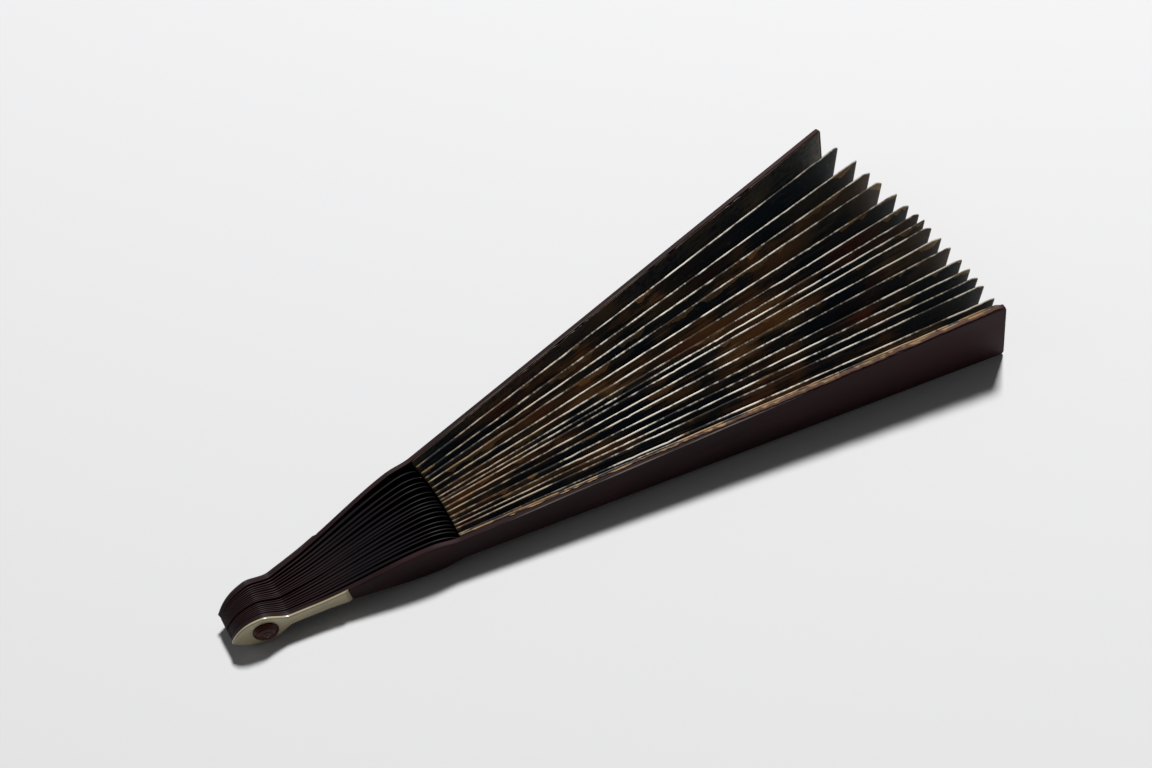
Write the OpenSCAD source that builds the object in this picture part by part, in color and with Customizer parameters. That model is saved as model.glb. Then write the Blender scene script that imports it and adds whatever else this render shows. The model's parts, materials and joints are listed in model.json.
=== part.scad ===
// Folding hand fan with a pleated paper leaf, resting on edge with its blades sprung apart.
// The sticks turn on one rivet along Y. X runs from the rivet to the leaf, and Z is up.

/* [Leaf] */
// Radius of the leaf's outer edge, from the rivet
leaf_r = 291; // [240:1:340]
// Radius of the leaf's inner edge, from the rivet
leaf_inner_r = 77; // [70:1:100]
// Width of a pleat at the leaf's outer edge
pleat_outer_w = 27; // [18:0.5:27.5]
// Width of a pleat at the leaf's inner edge
pleat_inner_w = 10.4; // [8:0.2:10.6]
// Thickness of the leaf's paper
paper_t = 0.2; // [0.15:0.05:0.3]
// Gap between the foot of a pleat and the next panel
valley_gap = 0.1; // [0.05:0.05:0.2]

/* [Guards] */
// Length of a guard, from the rivet to its far end
guard_r = 292; // [280:1:350]
// Width of a guard where the leaf begins
guard_inner_w = 11; // [10.8:0.2:13]
// Width of a guard at its far end
guard_end_w = 28; // [27.5:0.5:32]
// Radius of the rounded corners at a guard's far end
guard_corner = 1.2; // [0.6:0.2:3]
// Thickness of a guard
guard_t = 2.2; // [1.6:0.1:3]
// Chamfer along the outer edges of a guard's blade
guard_chamfer = 0.5; // [0.2:0.1:0.8]

/* [Handle] */
// Distance from the rivet to the pointed tip of the head
head_tip = 12.2; // [9:0.1:13]
// Width of the head across the rivet
head_w = 14; // [12:0.2:16]
// Width of the neck
neck_w = 4.8; // [4.5:0.1:7]
// Radius at which the neck begins, from the rivet
neck_r = 11; // [9:0.5:14]
// Length of the straight part of the neck
neck_len = 9; // [4:0.5:12]
// Width of the shoulder
shoulder_w = 14.4; // [11:0.2:16]
// Radius of the shoulder, from the rivet
shoulder_r = 66; // [50:1:68]
// How far an inner stick's head stays inside the outline of a guard's head
stick_inset = 0.3; // [0.1:0.1:0.6]

/* [Sticks] */
// Thickness of an inner stick's handle
stick_t = 0.5; // [0.4:0.05:0.8]
// Gap between neighbouring sticks where they fan out
stick_gap = 0.11; // [0.08:0.01:0.2]
// Thickness of the rib that carries the leaf
rib_t = 0.25; // [0.15:0.05:0.3]
// Width of a rib where it enters the leaf
rib_inner_w = 2; // [1.6:0.1:2.2]
// Width of a rib at its far end
rib_outer_w = 4; // [2.4:0.2:6]
// How far a rib stops short of the leaf's outer edge
rib_short = 8; // [3:1:20]
// Angle at which each guard is sprung outwards
splay = 10; // [6:0.1:13]
// Place, along the fan, of the point from which the layers fan out. The rivet is at 0
fan_x = -11; // [-12:0.5:-8]

/* [Horn plates] */
// Radius of the horn plate's far end
horn_r = 33; // [26:0.5:45]
// Thickness of a horn plate
horn_t = 1; // [0.6:0.1:1.2]
// How far a horn plate stands proud of the guard
horn_proud = 0.3; // [0.1:0.1:0.5]
// Length of the bevel at a horn plate's far end
horn_bevel = 1.6; // [0.5:0.1:3]

/* [Rivet] */
// Diameter of the rivet's pin
pin_d = 3.2; // [2.4:0.1:4]
// Radial running clearance between the pin and the sticks
pin_clearance = 0.05; // [0.02:0.01:0.1]
// Diameter of a rivet eye
eye_d = 9.4; // [8:0.2:11.4]
// Height of the dome of a rivet eye
eye_dome = 1.8; // [0.7:0.1:2.2]
// Height of the straight rim under the dome
eye_rim = 0.5; // [0.3:0.1:0.8]
// Gap between an eye and the horn plate under it, and at the pin's far end
eye_gap = 0.05; // [0.02:0.01:0.15]
// Depth of the socket in an eye that takes the pin's end
eye_socket = 0.9; // [0.5:0.1:1.1]

/* [Hidden] */

$fn = 64;
// Number of inner sticks, and the layer number of the far guard: layer 0 is the near guard
inner_sticks = 16;
last = inner_sticks + 1;
// Share of the whole spread that opens between each stick and the next, near guard first
spread_share = [0.6, 1.1, 0.6, 0.7, 0.8, 1.1, 0.9, 1, 0.5, 0.6, 0.9, 1.1, 1.4, 1, 1.2, 1.7, 1.8];
// Stretches along the length of a pleat, which twists as the sticks spread
leaf_steps = 8;
// Points along the outline of a head, of the neck and of the shoulder
outline_steps = 12;
// Radius at which the head is widest, and how bluntly it rounds to its tip
head_r = 1;
head_power = 2.6;
// Margin by which a cutting tool passes the face that it cuts
cut = 1;

pin_r = pin_d / 2;
bore_r = pin_r + pin_clearance;
stack_half = (inner_sticks * stick_t + (inner_sticks + 1) * stick_gap) / 2;
guard_end_half = guard_end_w / 2;
// Distances from a guard's middle plane to the seat of its horn plate, the plate's face and the eye on it
horn_seat_y = guard_t / 2 - horn_t + horn_proud;
horn_face_y = guard_t / 2 + horn_proud;
eye_seat_y = horn_face_y + eye_gap;
// Half length of a cutting tool that passes through the whole fan along the rivet
through = leaf_r;

// Sum of the first n shares of the spread
function share_sum(n) = n <= 0 ? 0 : spread_share[n - 1] + share_sum(n - 1);
// Angle of a layer's blade, from the near guard at -splay to the far guard at +splay
function splay_at(i) = splay * (2 * share_sum(i) / share_sum(last) - 1);
// Place of a layer's middle plane along Y, where the layers fan out
function layer_y(i) =
    i == 0 ? -stack_half - guard_t / 2 :
    i == last ? stack_half + guard_t / 2 :
    -stack_half + stick_gap + stick_t / 2 + (i - 1) * (stick_t + stick_gap);
// Direction of a layer's blade, and the normal of its plane
function blade_dir(i) = [cos(splay_at(i)), sin(splay_at(i)), 0];
function blade_normal(i) = [-sin(splay_at(i)), cos(splay_at(i)), 0];
// Distance of the plane that the leaf is glued to from a layer's middle plane
function glue_offset(i) = i == 0 ? guard_t / 2 : i == last ? -guard_t / 2 : 0;
// Point of a layer's glue plane at radius r, moved off the plane by out
function on_layer(i, r, out = 0) =
    [fan_x, layer_y(i), 0] + (r - fan_x) * blade_dir(i) + (glue_offset(i) + out) * blade_normal(i);
// Where the rivet meets a plane that lies out from a layer's middle plane: along Y, and along the blade
function rivet_y(i, out) = layer_y(i) + out / cos(splay_at(i)) - fan_x * tan(splay_at(i));
function rivet_r(i, out) = fan_x + (out * sin(splay_at(i)) - fan_x) / cos(splay_at(i));
// Near and far faces of the panel that is glued to a layer
function panel_near(i) = i == 0 ? 0 : -paper_t;
function panel_far(i) = panel_near(i) + paper_t;

// Eased step from 0 to 1
function ease(t) = let (c = min(1, max(0, t))) c * c * (3 - 2 * c);
function mix(a, b, t) = a + (b - a) * ease(t);
// Half width of a pleat at radius r
function pleat_half(r) =
    (pleat_inner_w + (pleat_outer_w - pleat_inner_w) * (r - leaf_inner_r) / (leaf_r - leaf_inner_r)) / 2;
// Half width of a handle at radius r: a pointed head, a drawn-in neck and a full shoulder
function handle_half(r, head_half) =
    r < head_r ? head_half * (1 - pow((head_r - r) / (head_r + head_tip), head_power)) :
    r < neck_r ? mix(head_half, neck_w / 2, (r - head_r) / (neck_r - head_r)) :
    mix(neck_w / 2, shoulder_w / 2, (r - neck_r - neck_len) / (shoulder_r - neck_r - neck_len));
// Radii in even steps from a up to, and without, b
function steps(a, b) = [for (k = [0 : outline_steps - 1]) a + (b - a) * k / outline_steps];
// Closed outline from the upper half widths at a list of radii
function outline(radii, halves) = concat(
    [for (k = [0 : len(radii) - 1]) [radii[k], halves[k]]],
    [for (k = [len(radii) - 1 : -1 : 0]) if (halves[k] > 0) [radii[k], -halves[k]]]);
// Radii of the head, of the neck up to the shoulder, and of the neck up to the horn plate's end
head_radii = concat(steps(-head_tip, head_r), steps(head_r, neck_r));
neck_radii = steps(neck_r, shoulder_r);
horn_radii = steps(neck_r, horn_r + cut);
// Half width of a guard's blade at radius r, past the shoulder
function guard_half(r) =
    r < leaf_inner_r ?
        mix(shoulder_w / 2, guard_inner_w / 2, (r - shoulder_r) / (leaf_inner_r - shoulder_r)) :
    (guard_inner_w + (guard_end_w - guard_inner_w) * (r - leaf_inner_r) / (guard_r - leaf_inner_r)) / 2;

// The fan leans so that the heads and the far ends of the guards meet the table together
guard_rest_x = fan_x + (guard_r - guard_corner - fan_x) * cos(splay);
head_rest_x = fan_x + (head_r - fan_x) * cos(splay);
lean = atan((guard_end_half - head_w / 2) / (guard_rest_x - head_rest_x));
lift = head_w / 2 * cos(lean) - head_rest_x * sin(lean);
leaf_end_x = max([for (i = [0 : last]) on_layer(i, leaf_r)[0]]);
middle_x = ((leaf_end_x - head_tip) * cos(lean) + pleat_outer_w / 2 * sin(lean)) / 2;

// Places the fan's own frame, with its origin at the rivet, on the table
module on_table() {
    translate([-middle_x, 0, lift]) rotate([0, -lean, 0]) children();
}

// A plate of a flat outline in X and Z, from y0 to y1
module plate(points, y0, y1) {
    translate([0, y1, 0]) rotate([90, 0, 0]) linear_extrude(y1 - y0) polygon(points);
}

// The same on one side of a blade, between two distances from its middle plane
module side_plate(points, side, near_y, far_y) {
    plate(points, side < 0 ? -far_y : near_y, side < 0 ? -near_y : far_y);
}

// A round bar along Y, from y0 to y1
module rod(r, y0, y1) {
    translate([0, y1, 0]) rotate([90, 0, 0]) cylinder(h = y1 - y0, r = r);
}

// Places a blade on its layer's splayed plane
module on_blade(i) {
    translate([fan_x, layer_y(i), 0]) rotate([0, 0, splay_at(i)]) translate([-fan_x, 0, 0]) children();
}

// Cuts the chamfers along the outer edges of a guard's blade. side is -1 on the near guard
module blade_chamfers(side) {
    slope = atan((guard_end_half - guard_inner_w / 2) / (guard_r - leaf_inner_r));
    run = (guard_r - leaf_inner_r) / cos(slope);
    for (edge = [-1, 1])
        translate([leaf_inner_r, side * guard_t / 2, edge * guard_inner_w / 2])
            rotate([0, -edge * slope, 0])
                rotate([45, 0, 0])
                    translate([0, -guard_chamfer / sqrt(2), -guard_chamfer / sqrt(2)])
                        cube([run + cut, guard_chamfer * sqrt(2), guard_chamfer * sqrt(2)]);
}

// A guard: a stiff outer stick whose blade widens to cover the closed leaf
module guard(i) {
    side = i == 0 ? -1 : 1;
    blade_radii = concat(head_radii, neck_radii, steps(shoulder_r, leaf_inner_r));
    blade_halves = [for (r = blade_radii)
        r <= -head_tip ? 0 : r < shoulder_r ? handle_half(r, head_w / 2) : guard_half(r)];
    corner_turns = [0 : 22.5 : 90];
    corner_radii = [for (a = corner_turns) guard_r - guard_corner * (1 - sin(a))];
    corner_halves = [for (a = corner_turns) guard_end_half - guard_corner * (1 - cos(a))];
    points = outline(concat(blade_radii, corner_radii), concat(blade_halves, corner_halves));
    seat = outline([-head_tip - cut, horn_r], [head_w, head_w]);
    difference() {
        on_blade(i) difference() {
            plate(points, -guard_t / 2, guard_t / 2);
            blade_chamfers(side);
            side_plate(seat, side, horn_seat_y, guard_t / 2 + cut);
        }
        rod(bore_r, -through, through);
    }
}

// A horn plate: a thin cheek let into the outside of a guard's head and neck, with a sloped far end
module horn_plate(i) {
    side = i == 0 ? -1 : 1;
    radii = concat(head_radii, horn_radii);
    points = outline(radii, [for (r = radii) r <= -head_tip ? 0 : handle_half(r, head_w / 2)]);
    plan = [
        [-head_tip - cut, side * horn_seat_y], [horn_r, side * horn_seat_y],
        [horn_r - horn_bevel, side * horn_face_y], [-head_tip - cut, side * horn_face_y]
    ];
    difference() {
        on_blade(i) intersection() {
            side_plate(points, side, horn_seat_y, horn_face_y);
            translate([0, 0, -head_w]) linear_extrude(2 * head_w) polygon(plan);
        }
        rod(bore_r, -through, through);
    }
}

// An inner stick: a thin shaped handle that rounds off at its shoulder to a rib under the leaf
module stick(i) {
    head_half = head_w / 2 - stick_inset;
    shoulder_end = leaf_inner_r - valley_gap;
    round_turns = [0 : 7.5 : 90];
    round_radii = [for (a = round_turns) shoulder_r + (shoulder_end - shoulder_r) * sin(a)];
    round_halves = [for (a = round_turns) rib_inner_w / 2 + (shoulder_w - rib_inner_w) / 2 * cos(a)];
    handle_radii = concat(head_radii, neck_radii);
    handle_halves = [for (r = handle_radii) r <= -head_tip ? 0 : handle_half(r, head_half)];
    difference() {
        on_blade(i) union() {
            plate(outline(concat(handle_radii, round_radii), concat(handle_halves, round_halves)),
                -stick_t / 2, stick_t / 2);
            plate(outline(
                [shoulder_r, leaf_inner_r, leaf_r - rib_short],
                [rib_inner_w / 2, rib_inner_w / 2, rib_outer_w / 2]), 0, rib_t);
        }
        rod(bore_r, -through, through);
    }
}

// Section of a pleat at radius r: up the glued panel, over the fold and down to the next layer
function pleat_section(i, r) = let (
    half = pleat_half(r),
    up = [0, 0, half],
    near = on_layer(i, r, panel_near(i)),
    far = on_layer(i, r, panel_far(i)),
    foot = on_layer(i + 1, r, panel_near(i + 1) - valley_gap),
    foot_inner = foot - paper_t * blade_normal(i + 1),
    drop = [0, 0, 2 * half * paper_t / norm(foot - far)]
) [near - up, near + up, far + up, foot - up, foot_inner - up, far + up - drop, far - up];

// A pleat: one panel glued along its stick, and the free panel that folds over to the next stick
module pleat(i) {
    stretch = (leaf_r - leaf_inner_r) / leaf_steps;
    sections = [for (k = [0 : leaf_steps]) pleat_section(i, leaf_inner_r + k * stretch)];
    n = len(sections[0]);
    free_inner = 4;
    sides = [for (k = [0 : leaf_steps - 1], m = [0 : n - 1])
        let (a = k * n + m, b = k * n + (m + 1) % n)
        each m == free_inner ? [[a, b, a + n], [b, b + n, a + n]] : [[a, b, b + n], [a, b + n, a + n]]];
    first = [[6, 5, 0], [5, 1, 0], [5, 2, 1], [5, 3, 2], [5, 4, 3]];
    final = [for (f = first) [for (m = [2, 1, 0]) f[m] + n * leaf_steps]];
    polyhedron([for (section = sections) each section], concat(sides, first, final));
}

// The leaf's last panel, glued to the inside of the far guard
module end_panel() {
    radii = [leaf_inner_r, leaf_r];
    on_blade(last) plate(outline(radii, [for (r = radii) pleat_half(r)]),
        glue_offset(last) + panel_near(last), glue_offset(last) + panel_far(last));
}

// The rivet's pin, through every head. The near eye is fast on it, and the far eye turns on its end
module pin() {
    rod(pin_r, rivet_y(0, -eye_seat_y) - eye_socket, rivet_y(last, eye_seat_y) + eye_socket - eye_gap);
}

// A rivet eye: a domed horn button that sits square on its horn plate, with a socket for the pin's end
module eye(i) {
    side = i == 0 ? -1 : 1;
    eye_r = eye_d / 2;
    dome_r = (eye_r * eye_r + eye_dome * eye_dome) / (2 * eye_dome);
    socket_end = rivet_y(i, side * eye_seat_y) + side * eye_socket;
    difference() {
        on_blade(i) translate([rivet_r(i, side * eye_seat_y), side * eye_seat_y, 0])
            rotate([side * -90, 0, 0]) union() {
                cylinder(h = eye_rim, r = eye_r);
                translate([0, 0, eye_rim]) intersection() {
                    cylinder(h = eye_dome, r = eye_r);
                    translate([0, 0, eye_dome - dome_r]) sphere(r = dome_r);
                }
            }
        rod(i == 0 ? pin_r : bore_r, min(0, socket_end), max(0, socket_end));
    }
}

// Name of a numbered node
function numbered(name, i) = str(name, i < 10 ? "_0" : "_", i);

module wood(dark) { color(dark ? "#2a1a1c" : "#33201f") children(); }

on_table() wood(true) guard(0);  // guard_near
on_table() wood(true) guard(last);  // guard_far
on_table() color("#b9ad92") horn_plate(0);  // horn_plate_near
on_table() color("#b9ad92") horn_plate(last);  // horn_plate_far
on_table() color("#4a2a20") pin();  // rivet_pin
on_table() color("#4a2620") eye(0);  // rivet_eye_near
on_table() color("#4a2620") eye(last);  // rivet_eye_far
for (i = [1 : inner_sticks])
    on_table() wood(false) stick(i);
for (i = [0 : inner_sticks])
    on_table() color("#241f20") pleat(i);
on_table() color("#3a332c") end_panel();  // leaf_end_panel
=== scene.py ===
# %% [markdown]
# # An old folding fan, sprung half shut
# A folding fan lies on its edge. Sixteen thin sticks and two stout guards turn on one rivet, and a
# pleated paper leaf joins their outer halves. Age has bent the sticks apart, so the leaf stands open
# along its edge like the pages of a book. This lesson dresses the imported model: the wood gets worn
# round edges, the horn its polish, and the leaf its thin, painted paper with folds rubbed pale.

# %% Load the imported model
import json
import math

import bpy
import numpy as np
from mathutils import Matrix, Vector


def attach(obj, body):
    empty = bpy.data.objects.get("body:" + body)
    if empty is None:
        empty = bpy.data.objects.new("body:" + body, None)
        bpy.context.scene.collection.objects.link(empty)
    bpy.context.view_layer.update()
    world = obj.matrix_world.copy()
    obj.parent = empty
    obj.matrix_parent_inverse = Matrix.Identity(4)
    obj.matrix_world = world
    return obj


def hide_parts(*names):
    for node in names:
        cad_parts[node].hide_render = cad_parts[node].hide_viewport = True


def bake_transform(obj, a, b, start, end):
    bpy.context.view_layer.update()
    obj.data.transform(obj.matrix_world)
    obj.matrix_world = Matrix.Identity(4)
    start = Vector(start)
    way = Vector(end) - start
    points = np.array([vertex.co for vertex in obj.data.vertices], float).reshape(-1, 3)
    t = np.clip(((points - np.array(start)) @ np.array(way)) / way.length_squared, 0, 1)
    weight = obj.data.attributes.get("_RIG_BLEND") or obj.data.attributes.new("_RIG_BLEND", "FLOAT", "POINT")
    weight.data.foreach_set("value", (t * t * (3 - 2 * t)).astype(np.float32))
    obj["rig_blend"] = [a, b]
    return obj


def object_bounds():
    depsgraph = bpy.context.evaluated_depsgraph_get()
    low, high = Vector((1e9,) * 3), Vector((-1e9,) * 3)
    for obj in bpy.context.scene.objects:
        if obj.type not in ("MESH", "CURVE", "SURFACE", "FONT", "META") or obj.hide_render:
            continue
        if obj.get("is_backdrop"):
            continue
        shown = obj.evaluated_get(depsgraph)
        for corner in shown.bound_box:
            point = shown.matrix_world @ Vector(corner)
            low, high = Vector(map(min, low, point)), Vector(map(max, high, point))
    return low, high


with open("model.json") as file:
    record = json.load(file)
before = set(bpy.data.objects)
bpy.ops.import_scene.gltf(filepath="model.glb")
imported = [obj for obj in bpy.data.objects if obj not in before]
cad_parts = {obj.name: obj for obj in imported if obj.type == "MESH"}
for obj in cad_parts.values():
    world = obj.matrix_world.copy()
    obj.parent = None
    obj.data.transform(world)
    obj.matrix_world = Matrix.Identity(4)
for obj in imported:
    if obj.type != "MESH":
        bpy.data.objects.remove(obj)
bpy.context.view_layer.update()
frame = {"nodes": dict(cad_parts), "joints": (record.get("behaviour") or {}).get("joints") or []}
scene = bpy.context.scene
scene.view_settings.view_transform = "Standard"

# %% [markdown]
# ## How the fan lies
# All measures are millimetres, and are those that the solids were made with. Layer 0 is the near
# guard, layers 1 to 16 are the sticks and layer 17 is the far guard. Each blade leaves the stack of
# heads at its own angle, and the angles are uneven, as on the real fan. The fan leans a little,
# because it rests on its head and on the wider end of its guards. The angles could be read off the
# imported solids, but worked out from the same few numbers they serve every formula below.

# %% Layers and their angles
INNER_STICKS = 16
LAST = INNER_STICKS + 1
STICK_T, STICK_GAP = 0.5, 0.11
SPLAY = 10.0  # degrees to each side
SHARES = np.array(
    [0.6, 1.1, 0.6, 0.7, 0.8, 1.1, 0.9, 1, 0.5, 0.6, 0.9, 1.1, 1.4, 1, 1.2, 1.7, 1.8]
)
STACK_HALF = (INNER_STICKS * STICK_T + LAST * STICK_GAP) / 2
SPLAYS = np.radians(SPLAY * (2 * np.concatenate([[0], np.cumsum(SHARES)]) / SHARES.sum() - 1))
BODIES = ["guard_near"] + [f"stick_{i:02d}" for i in range(1, LAST)] + ["guard_far"]
print("layers", len(BODIES), "stack", round(2 * STACK_HALF, 2), "mm")

# %% Lean and rivet
GUARD_R, GUARD_END_W, GUARD_T, GUARD_CORNER = 292.0, 28.0, 2.2, 1.2
HEAD_W, HEAD_R = 14.0, 1.0
rest_run = (GUARD_R - GUARD_CORNER - HEAD_R) * math.cos(math.radians(SPLAY))
LEAN = math.atan((GUARD_END_W / 2 - HEAD_W / 2) / rest_run)
RIVET = np.array(frame["joints"][0]["pos_m"])
print(f"lean {math.degrees(LEAN):.3f} degrees, rivet at {RIVET.round(5)}")

# %% [markdown]
# ## Camera and light
# The camera stands where the photograph was taken from: in front of the near guard, about fifty
# degrees up, and tilted a little. It could be set by eye. This one was fitted to the fan's own
# corners, so that the render and the photograph can be laid over each other.

# %% Camera
CAMERA_AT = (-0.12115, -0.34559, 0.49579)
CAMERA_YAW, CAMERA_DOWN, CAMERA_ROLL = 19.251, 51.607, -13.576
FOCAL_PX, IMAGE_W, SENSOR_W = 1616.6, 1152.0, 36.0


def camera_axes(yaw, down, roll):
    """The camera's right, up and forward directions. Yaw turns from +Y towards +X, down tips it below
    level, and roll turns right towards up."""
    yaw, down, roll = np.radians([yaw, down, roll])
    forward = np.array([np.sin(yaw) * np.cos(down), np.cos(yaw) * np.cos(down), -np.sin(down)])
    right = np.array([np.cos(yaw), -np.sin(yaw), 0.0])
    up = np.cross(right, forward)
    right, up = right * np.cos(roll) + up * np.sin(roll), up * np.cos(roll) - right * np.sin(roll)
    return right, up, forward


def posed(axes, at):
    """The matrix that turns an object's own X, Y and Z to three axes and moves it to a place."""
    rows = [[*row, p] for row, p in zip(np.stack(axes, 1).tolist(), at)]
    return Matrix(rows + [[0, 0, 0, 1]])


right, up, forward = camera_axes(CAMERA_YAW, CAMERA_DOWN, CAMERA_ROLL)
camera_data = bpy.data.cameras.new("camera")
camera_data.sensor_width = SENSOR_W
camera_data.lens = SENSOR_W * FOCAL_PX / IMAGE_W
camera_data.clip_start = 0.01
camera = bpy.data.objects.new("camera", camera_data)
camera.matrix_world = posed((right, up, -forward), CAMERA_AT)
scene.collection.objects.link(camera)
scene.camera = camera
print(f"lens {camera_data.lens:.1f} mm")

# %% [markdown]
# One large soft lamp high behind the fan throws the short shadow towards the camera. A sun lamp would
# do for that, but an area lamp softens the shadow's rim with distance, as a window does. A weak lamp
# on the left and a dim sky keep the darkest parts from going black.

# %% Lamps
KEY_AT, KEY_WATTS = (1.66, 1.5, 3.32), 183.0
LEFT_AT, LEFT_WATTS = (-1.1, 0.5, 1.0), 0.8
LAMP_SIDE = 0.6


def area_lamp(name, at, power):
    """A square soft lamp at a place in metres, turned to the fan, with its power in watts."""
    data = bpy.data.lights.new(name, "AREA")
    data.shape = "SQUARE"
    data.size = LAMP_SIDE
    data.energy = power
    lamp = bpy.data.objects.new(name, data)
    away = np.array(at) / np.linalg.norm(at)
    side = np.cross([0, 0, 1], away)
    side = side / np.linalg.norm(side)
    lamp.matrix_world = posed((side, np.cross(away, side), away), at)
    scene.collection.objects.link(lamp)


area_lamp("key_lamp", KEY_AT, KEY_WATTS)
area_lamp("left_lamp", LEFT_AT, LEFT_WATTS)

# %% Sky
SKY_COLOUR, SKY_STRENGTH = (0.97, 0.98, 1.0, 1.0), 0.06  # linear light, a touch of blue
world = bpy.data.worlds.new("studio")
scene.world = world
world.use_nodes = True
sky = world.node_tree.nodes["Background"].inputs
sky["Color"].default_value = SKY_COLOUR
sky["Strength"].default_value = SKY_STRENGTH
print("sky", world.name, "at", SKY_STRENGTH)

# %% [markdown]
# ## Materials
# Every colour is written as it looks on a screen, and one function turns it to linear light. A
# material is a small graph of nodes: noises at real sizes give the grain, the stains and the wear.
# Pictures could be wrapped round the pieces instead, but a noise needs no file and differs from piece
# to piece. The noises read the piece's own map, in which one unit is a metre along the stick or
# across the leaf, so a size in millimetres becomes a scale by one division.

# %% Colours and sizes


def linear(hex_colour):
    """The linear colour of a screen colour: each channel is divided by 12.92 below 0.04045, and is
    otherwise raised to 2.4 after its offset of 0.055."""
    channels = [int(hex_colour[k : k + 2], 16) / 255 for k in (1, 3, 5)]
    bent = [c / 12.92 if c <= 0.04045 else ((c + 0.055) / 1.055) ** 2.4 for c in channels]
    return (*bent, 1.0)


def patches(along, across):
    """Scales of a noise whose patches have these sizes in millimetres, on a map in metres: a thousand
    by each size."""
    return (1000.0 / along, 1000.0 / across, 1.0)


print("a middle grey is", round(linear("#808080")[0], 3), "and 20 mm patches", patches(20, 20))

# %% [markdown]
# One function adds every node. Its inputs go by name or by number. A mix of colours takes its share
# at 0 and its two colours at 6 and 7, and gives the mixture at output 2. A map range takes its value
# at 0, the range it comes from at 1 and 2, and the range it goes to at 3 and 4, or else 0 to 1.
# A graph could also be drawn by hand in the node editor. Written out, it can be read and repeated.

# %% Node tools
MAPPING, NOISE, RANGE = "ShaderNodeMapping", "ShaderNodeTexNoise", "ShaderNodeMapRange"
MIX, MATH, VALUE = "ShaderNodeMix", "ShaderNodeMath", "ShaderNodeAttribute"
BUMP, PRINCIPLED = "ShaderNodeBump", "ShaderNodeBsdfPrincipled"
OUTPUT = "ShaderNodeOutputMaterial"
EASED, RGBA = {"interpolation_type": "SMOOTHSTEP"}, {"data_type": "RGBA"}
PLAIN = {"Scale": 1.0, "Detail": 4.0}


def add(tree, kind, inputs=None, out=0, **settings):
    """Adds a node with its settings, links or sets its inputs, and gives back one of its outputs."""
    node = tree.nodes.new(kind)
    for key, value in settings.items():
        setattr(node, key, value)
    for key, value in (inputs or {}).items():
        if isinstance(value, bpy.types.NodeSocket):
            tree.links.new(value, node.inputs[key])
        else:
            node.inputs[key].default_value = value
    return node.outputs[out] if node.outputs else None


def new_material(name):
    """An empty material and its node tree."""
    material = bpy.data.materials.new(name)
    material.use_nodes = True
    material.node_tree.nodes.clear()
    return material, material.node_tree


print("kinds of node", len({MAPPING, NOISE, RANGE, MIX, MATH, VALUE, BUMP, PRINCIPLED, OUTPUT}))

# %% [markdown]
# ### Wood
# The sticks are a dense dark wood, stained and once waxed. Its grain is dark streaks along the stick
# with paler clouds between them. A wave texture gives the even rings of a softwood. This wood is
# close and irregular, so its streaks are a noise that is drawn out along the stick.

# %% Wood grain
# Real streaks and pores are finer than a pixel, so both are drawn a few times coarser.
WOOD_STREAK_MM, WOOD_CLOUD_MM, WOOD_PORE_MM = (17, 0.7), (40, 17), (3, 0.2)


def wood_grain(tree, dark, mid, edge):
    """Grain for the eye: the dark and the mid tone in streaks, and clouds of the edge's tone. Gives
    back the colour and three noises: streaks, clouds and pores."""
    grain = add(tree, "ShaderNodeUVMap", uv_map="grain")
    sizes = (WOOD_STREAK_MM, WOOD_CLOUD_MM, WOOD_PORE_MM)
    places = [add(tree, MAPPING, {"Vector": grain, "Scale": patches(*size)}) for size in sizes]
    streaks, clouds, pores = (add(tree, NOISE, {"Vector": p, **PLAIN}) for p in places)
    streaked = add(tree, RANGE, {0: streaks, 1: 0.32, 2: 0.7}, **EASED)
    colour = add(tree, MIX, {0: streaked, 6: linear(dark), 7: linear(mid)}, 2, **RGBA)
    clouded = add(tree, RANGE, {0: clouds, 1: 0.45, 2: 0.7, 4: 0.4}, **EASED)
    colour = add(tree, MIX, {0: clouded, 6: colour, 7: linear(edge)}, 2, **RGBA)
    return colour, streaks, clouds, pores


print("wood streaks", WOOD_STREAK_MM, "mm and clouds", WOOD_CLOUD_MM, "mm")

# %% [markdown]
# Hands have rubbed the edges a little redder and paler. The handles are painted darker past the heads, as
# painted shade between the sticks. The guard's blade is redder towards its end, and along its middle the
# very edge carries a thin pale line, which is a painted highlight. All this could be painted by hand on each
# stick. Two values that every point carries, its run along the stick and its nearness to an edge, place it
# on all of them at once.

# %% Wood wear, painted shade and painted highlight
# Where along the stick, in millimetres, each change begins and is full.
# The handle's painted shade comes in over the first run.
HANDLE_SHADE_RUN, RED_RUN = (8.0, 46.0), (170.0, 285.0)
# The painted highlight on the guard's edge fades in over the first of these runs and out over the second.
HIGHLIGHT_FROM, HIGHLIGHT_TO = (80.0, 115.0), (180.0, 225.0)
# The first colour is painted shade for the handles, the second the blade's own red, and the third a painted
# highlight for the guard's edge.
HANDLE_SHADE, RED, EDGE_HIGHLIGHT = "#121014", "#43282a", "#b5a99f"


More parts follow.
